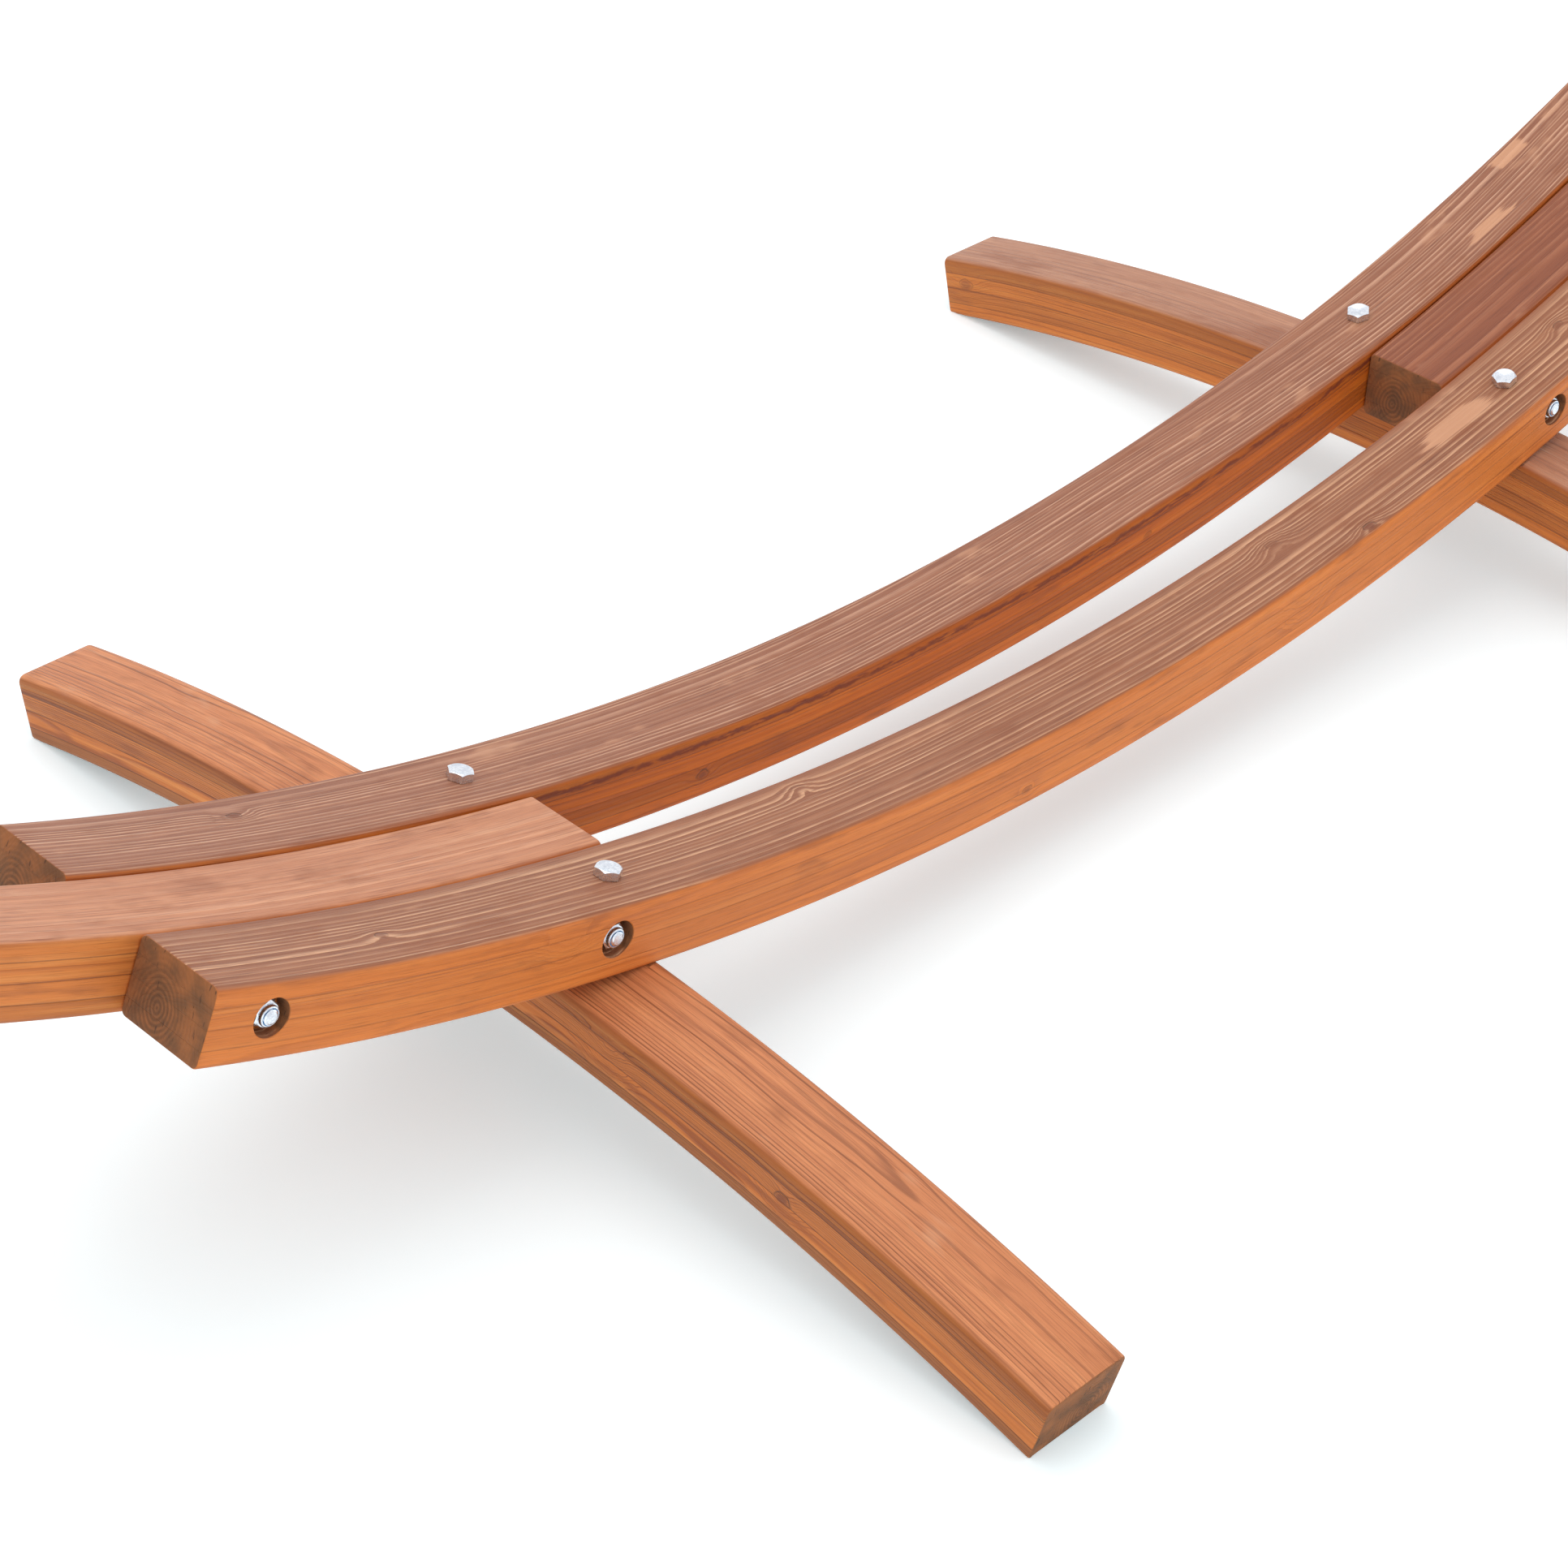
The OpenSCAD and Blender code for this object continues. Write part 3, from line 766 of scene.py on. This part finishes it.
    def relief(self):
        g = self.g
        raised = g.add(g.mul(self.late, 0.55), g.mul(g.add(self.fine, self.fibre), 0.35))
        return g.bump(g.sub(raised, g.mul(g.add(self.knot_rim, self.glue), 0.6)), BUMP_DEPTH, 0.8)


def timber_material(
    name, beam, seed, pith, side_tint, top_tint_and_light,
    knots=(), patches=(), seam=None, ring=4.6, lines=1.0, grain=1.0,
):
    """Stained larch for a beam, which is (standing, radius, width, depth, middle).

    standing says whether the beam arches up from the floor, as a foot does, and middle is where its
    across is 0. pith is the place of the growth rings' middle in the top ply, (across, up). knots are
    (along, place, radius, on top, heart), with heart from 0, where the grain only bends, to 1. patches of
    filler are (along, across, half length, half width), and seam is the height of a torn glue line. ring
    is the growth rings' spacing. lines is how far they stand out on the top: pale above 0, dark below it.
    grain is how strongly grain, plies and glue lines show on the sides."""
    standing, radius, width, depth, middle = beam
    mat, g = new_material(name)
    larch = Larch(g, width, depth, seed, lines, grain)
    larch.lay_out(standing, radius, middle)
    larch.lay_plies()
    larch.grow(pith)
    larch.add_knots(knots)
    larch.figure(ring)
    colour = larch.colour(side_tint, top_tint_and_light, patches, seam)
    g.finish(colour, larch.roughness(), larch.relief(), IOR=1.42)
    return mat


# ---------------------------------------------------------------- metal and nylon


METAL_GRIT = 4200.0  # noise scale of the coat's finest grain


def metal_material(name, bright, dull, low, high, grain, relief):
    """Zinc-coated steel: drifting tone, and a roughness from low to high with the crystals of the coat."""
    mat, g = new_material(name)
    place = g.node("TexCoord").outputs["Object"]
    patch = g.noise(place, grain, 3.0, 0.6)
    cells = g.node("TexVoronoi", feature="F1")
    g.put(cells.inputs["Vector"], place)
    cells.inputs["Scale"].default_value = grain * 2.2
    tone = g.add(g.mul(patch, 0.65), g.mul(g.separate(cells.outputs["Color"])[0], 0.35))
    colour = g.mix(g.span(tone, 0.3, 0.7), bright, dull)
    normal = g.bump(g.noise(place, METAL_GRIT), relief, 0.6)
    g.finish(colour, g.span(tone, 0.25, 0.75, low, high, False), normal, Metallic=1.0)
    return mat


def nylon_material(name):
    """Blue nylon, slightly mottled."""
    mat, g = new_material(name)
    mottle = g.noise(g.node("TexCoord").outputs["Object"], 900.0)
    colour = g.mix(mottle, (0.05, 0.22, 0.48), (0.09, 0.32, 0.62))
    g.finish(colour, g.span(mottle, 0.3, 0.7, 0.35, 0.5))
    return mat


zinc = metal_material("zinc", (0.86, 0.89, 0.95), (0.66, 0.70, 0.78), 0.16, 0.34, 320.0, 0.00003)
chain_zinc = metal_material(
    "chain_zinc", (0.72, 0.74, 0.76), (0.52, 0.54, 0.57), 0.30, 0.50, 520.0, 0.00006
)
nylon = nylon_material("nylon")

# ---------------------------------------------------------------- the six timbers' looks

RAIL_BEAMS = {
    "front": (False, ARC_R, RAIL_W, RAIL_H, -RAIL_Y),
    "back": (False, ARC_R, RAIL_W, RAIL_H, RAIL_Y),
}
ARM_BEAM = (False, ARM_FACE_R + ARM_H / 2, ARM_W, ARM_H, 0.0)
FOOT_BEAMS = {name: (True, FOOT_R, FOOT_W, FOOT_H, side * FOOT_X) for name, side in SIDES.items()}

# The second tint of each timber lightens or darkens its tops: partly their tone, partly painted light.
timber_mats = {
    "rail_front": timber_material(
        "larch_rail_front", RAIL_BEAMS["front"], 2.0, (88.0, -30.0), (1.00, 0.90, 0.74), (0.94, 0.94, 0.82),
        knots=[
            (-778, -6, 4, True, 0.8),
            (-626, 8, 7, False, 0),
            (-327, 22, 5, True, 0.3),
            (-124, -14, 4, False, 0.6),
            (226, 2, 9, False, 0),
            (243, 11, 6, True, 0.4),
            (319, -33, 5, True, 1),
            (644, 8, 4.5, True, 0.7),
        ],
        patches=[(481, 2, 46, 15)], grain=0.6,
    ),
    "rail_back": timber_material(
        "larch_rail_back", RAIL_BEAMS["back"], 5.0, (-95.0, -38.0), (0.86, 0.66, 0.22), (0.96, 1.00, 1.00),
        knots=[(-761, 12, 5, True, 0.9), (-327, -8, 5, False, 0.9), (210, 4, 4, False, 0.5)],
        patches=[(726, -17, 30, 7), (816, 26, 22, 8)], seam=RAIL_H / 2 - 9, ring=3.6, lines=0.9,
    ),
    "arm_left": timber_material(
        "larch_arm_left", ARM_BEAM, 8.0, (52.0, -80.0), (0.89, 0.84, 0.76), (1.66, 1.90, 1.88),
        knots=[(-1300, 10, 6, True, 0.8), (-1900, -6, 5, True, 0.6), (-1500, 4, 6, False, 0.7)],
        lines=0.2, grain=1.2,
    ),
    "arm_right": timber_material(
        "larch_arm_right", ARM_BEAM, 11.0, (-60.0, -60.0), (0.80, 0.72, 0.56), (0.80, 0.62, 0.48),
        knots=[(1450, -14, 6, True, 0.8), (2100, 6, 5, True, 0.5), (1250, 0, 6, False, 0.8)],
        lines=0.5,
    ),
    "foot_left": timber_material(
        "larch_foot_left", FOOT_BEAMS["left"], 14.0, (16.0, -18.0), (0.74, 0.68, 0.56), (1.88, 1.90, 1.45),
        knots=[(-330, 2, 6, False, 1), (-150, 4, 7, False, 0)],
        ring=1.9, lines=-0.75, grain=1.9,
    ),
    "foot_right": timber_material(
        "larch_foot_right", FOOT_BEAMS["right"], 17.0, (30.0, -50.0), (0.76, 0.68, 0.44), (1.42, 1.82, 2.05),
        knots=[(548, 6, 7, False, 0.6), (-420, 10, 6, True, 0.8)],
        ring=2.6, lines=-0.35, grain=1.2,
    ),
}


def dress(obj, node_names, body, material):
    """Gives a piece its material and body, and has it stand for its CAD nodes."""
    obj.data.materials.clear()
    obj.data.materials.append(material)
    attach(obj, body)
    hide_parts(*node_names)


for node, y_side in (("rail_front", -1), ("rail_back", 1)):
    dress(timber_rail(f"timber_{node}", y_side), [node], "stand", timber_mats[node])
for side_name, side in SIDES.items():
    for kind, build in (("arm", timber_arm), ("foot", timber_foot)):
        node = f"{kind}_{side_name}"
        dress(build(f"timber_{node}", side), [node], "stand", timber_mats[node])

# ---------------------------------------------------------------- fasteners

heads, seat_washer_parts, seat_nut_parts = [], [], []
clamp_parts, head_washer_parts, nut_washer_parts = [], [], []
clamp_nut_parts, lock_ring_parts = [], []
eye_washer_parts, eye_nut_parts = [], []
seat_end_r = SEAT_NUT_R + WASHER_H + NUT_H + THREAD_PAST
on_washer = Matrix.Translation((0, 0, WASHER_H))
turns = itertools.count(0, 17)  # degrees


def spun():
    """Turns each hexagon to an angle of its own."""
    return Matrix.Rotation(math.radians(next(turns)), 4, "Z")


for side in SIDES.values():
    for y in (-RAIL_Y, RAIL_Y):
        head = on_arc(SEAT_BOLT_ANGLE, RAIL_TOP_R - TOUCH, y, side)
        heads.append((*hexagon(HEX_AF, HEAD_H, dish=0.5), head @ spun()))
        heads.append((*threaded(BOLT_D, seat_end_r - RAIL_TOP_R, 40), head))
        under = on_arc(SEAT_BOLT_ANGLE, SEAT_NUT_R, y, side) @ DOWN
        seat_washer_parts.append((*washer(WASHER_D, BOLT_HOLE_D, WASHER_H), under))
        seat_nut_parts.append((*hexagon(HEX_AF, NUT_H, hole=BOLT_D), under @ on_washer @ spun()))
    for angle in CLAMP_ANGLES:
        head = on_clamp(angle, UNDER_HEAD_Y, 1, side)
        clamp_parts.append((*hexagon(HEX_AF, HEAD_H, dish=0.5), head @ spun()))
        clamp_parts.append((*threaded(BOLT_D, 2 * UNDER_HEAD_Y + NUT_H + THREAD_PAST, 36), head))
        for parts, out in ((head_washer_parts, 1), (nut_washer_parts, -1)):
            place = on_clamp(angle, out * CLAMP_SEAT_Y, out, side)
            parts.append((*washer(WASHER_D, BOLT_HOLE_D, WASHER_H), place))
        nut_place = on_clamp(angle, -UNDER_HEAD_Y, -1, side)
        clamp_nut_parts.append((*lock_nut(HEX_AF, NUT_H, BOLT_D), nut_place @ spun()))
        lock_ring_parts.append((*locking_ring(NUT_H, BOLT_D), nut_place))
    big_washer = washer(EYE_WASHER_D, EYE_HOLE, WASHER_H)
    eye_washer_parts.append((*big_washer, on_arc(EYE_ANGLE, EYE_FACE_R, 0, side)))
    below = on_arc(EYE_ANGLE, ARM_UNDER_R, 0, side) @ DOWN
    eye_washer_parts.append((*big_washer, below))
    eye_nut_parts.append((*hexagon(EYE_AF, EYE_NUT_H, hole=EYE_SHANK), below @ on_washer @ spun()))

for piece_name, parts, node in (
    ("bolts_upright", heads, "seat_bolts"),
    ("washers_upright", seat_washer_parts, "seat_washers"),
    ("nuts_upright", seat_nut_parts, "seat_nuts"),
    ("bolts_cross", clamp_parts, "clamp_bolts"),
    ("washers_cross_head", head_washer_parts, "clamp_head_washers"),
    ("washers_cross_nut", nut_washer_parts, "clamp_nut_washers"),
    ("nuts_cross", clamp_nut_parts, "clamp_nuts"),
    ("washers_eye", eye_washer_parts, "eye_washers"),
    ("nuts_eye", eye_nut_parts, "eye_nuts"),
):
    dress(join(piece_name, parts), [node], "stand", zinc)

dress(join("rings_lock", lock_ring_parts), ["clamp_nuts"], "stand", nylon)

# ---------------------------------------------------------------- eye bolts and chains


def eye_bolt(name, side):
    """Drop-forged eye: ring, neck and collar with eased edges, and a rolled thread under the arm."""
    ring_path = bow(0, EYE_RING_R, 0, 360, steps=73)[:-1]
    shank = ARM_H + WASHER_H * 2 + EYE_NUT_H + THREAD_PAST
    collar_r = EYE_COLLAR_D / 2
    collar = [
        (collar_r - 0.8, 0),
        (collar_r, 0.8),
        (collar_r, EYE_COLLAR_H - 1.2),
        (collar_r - 1.2, EYE_COLLAR_H - 0.2),
        (EYE_WIRE / 2 + 1.5, EYE_COLLAR_H),
        (EYE_WIRE / 2 + 0.2, EYE_COLLAR_H + 1.5),
        (EYE_WIRE / 2 - 0.6, EYE_COLLAR_H + 4.0),
    ]
    face = on_arc(EYE_ANGLE, EYE_FACE_R - WASHER_H, 0, side)
    return join(
        name,
        [
            (*tube(ring_path, (0, 1, 0), EYE_WIRE / 2), on_arc(EYE_ANGLE, EYE_CENTRE_R, 0, side)),
            (*lathe(collar), face),
            (*threaded(EYE_SHANK, shank, 34, 1.5), face),
        ],
    )


def link(name, index, side):
    """Welded link: a stadium of round wire that swells a little at the weld."""
    bow_r = (LINK_INNER_W + LINK_WIRE) / 2
    span = LINK_PITCH + LINK_WIRE
    low = 2 * bow_r - span
    straight = 11
    left_leg = [(-bow_r, 0, z) for z in np.linspace(0, low, straight)[1:-1]]
    right_leg = [(bow_r, 0, z) for z in np.linspace(low, 0, straight)[1:-1]]
    path = bow(0, bow_r, 0, 180) + left_leg + bow(low, bow_r, 180, 360) + right_leg
    on_leg = [p[0] > bow_r - 0.01 for p in path]
    hump = [math.exp(-(((p[2] - low / 2) / WELD_LENGTH) ** 2)) for p in path]
    first = EYE_INNER_R - LINK_WIRE / 2 - GAP
    along = first + (index - 1) * (span - LINK_WIRE - GAP)
    eye_angle = math.radians(EYE_ANGLE)
    eye_centre = (EYE_CENTRE_R * math.sin(eye_angle), 0, ARC_Z - EYE_CENTRE_R * math.cos(eye_angle))
    place = (
        Matrix.Diagonal((side, 1, 1, 1))
        @ Matrix.Translation(eye_centre)
        @ Matrix.Rotation(math.radians(CHAIN_LEAN), 4, "Y")
        @ Matrix.Translation((0, 0, -along - bow_r))
        @ Matrix.Rotation(math.radians(90 if index % 2 else 0), 4, "Z")
    )
    swell = 1 + WELD_SWELL * np.array(hump) * on_leg
    verts, faces = tube(path, (0, 1, 0), LINK_WIRE / 2, swell=swell)
    return make(name, verts, faces, place)


for side_name, side in SIDES.items():
    eye = eye_bolt(f"eye_bolt_forged_{side_name}", side)
    dress(eye, [f"eye_bolt_{side_name}"], "stand", zinc)
    for index in range(1, 5):
        dress(
            link(f"link_{side_name}_{index}", index, side),
            [f"chain_{side_name}_{index}"],
            f"link_{side_name}_{index}",
            chain_zinc,
        )
    for node, finish in (("hook", chain_zinc), ("gate", zinc), ("gate_pin", zinc)):
        cad = bpy.data.objects[f"{node}_{side_name}"]
        for slot in cad.material_slots:
            slot.material = finish

# ---------------------------------------------------------------- stage, light and camera

FLOOR_HALF = 30000.0
FLOOR_GLOW = dict(Emission_Color=(0.56, 0.90, 1.0, 1), Emission_Strength=0.30)

# The floor glows a little and bluish, so the shadows stay as pale and grey as a retouched picture's.
floor_mat, g = new_material("studio_floor")
speck = g.noise(g.node("TexCoord").outputs["Object"], 2.0, 3.0)
g.finish(g.mix(speck, (0.93, 0.93, 0.93), (0.96, 0.96, 0.96)), 0.85, **FLOOR_GLOW)
corners = [(x * FLOOR_HALF, y * FLOOR_HALF, 0) for x, y in ((-1, -1), (1, -1), (1, 1), (-1, 1))]
floor = make("floor", corners, [(0, 1, 2, 3)])
floor.data.materials.append(floor_mat)

world = bpy.data.worlds.new("studio")
bpy.context.scene.world = world
world.use_nodes = True
backdrop = world.node_tree.nodes["Background"]
backdrop.inputs["Color"].default_value = (1.0, 1.0, 1.0, 1)
backdrop.inputs["Strength"].default_value = 1.0


def softbox(name, at, aim, size, power):
    """Square area light aimed at a point."""
    data = bpy.data.lights.new(name, "AREA")
    data.shape, data.size, data.energy = "SQUARE", size, power
    lamp = bpy.data.objects.new(name, data)
    lamp.location = at
    lamp.rotation_euler = (Vector(aim) - Vector(at)).to_track_quat("-Z", "Y").to_euler()
    bpy.context.scene.collection.objects.link(lamp)


softbox("key", (0.4, 1.2, 5.5), (0, 0, 0.1), 4.0, 50)

scene = bpy.context.scene
scene.view_settings.view_transform = "Standard"
scene.view_settings.look = "None"

AZIMUTH, ELEVATION, ROLL = (math.radians(v) for v in (-44.721, 35.617, 1.483))
CAMERA_AT = (-1.97384, -1.62951, 1.77733)
LENS, SHIFT_X = 84.1994, 0.048  # millimetres on a 36 mm sensor, and a share of its width
camera_data = bpy.data.cameras.new("camera")
camera_data.lens, camera_data.shift_x = LENS, SHIFT_X
camera = bpy.data.objects.new("camera", camera_data)
scene.collection.objects.link(camera)
back = Vector(
    (
        math.sin(AZIMUTH) * math.cos(ELEVATION),
        -math.cos(AZIMUTH) * math.cos(ELEVATION),
        math.sin(ELEVATION),
    )
)
camera.rotation_mode = "QUATERNION"
level = (-back).to_track_quat("-Z", "Y")
camera.rotation_quaternion = level @ Matrix.Rotation(ROLL, 3, "Z").to_quaternion()
camera.location = CAMERA_AT
scene.camera = camera
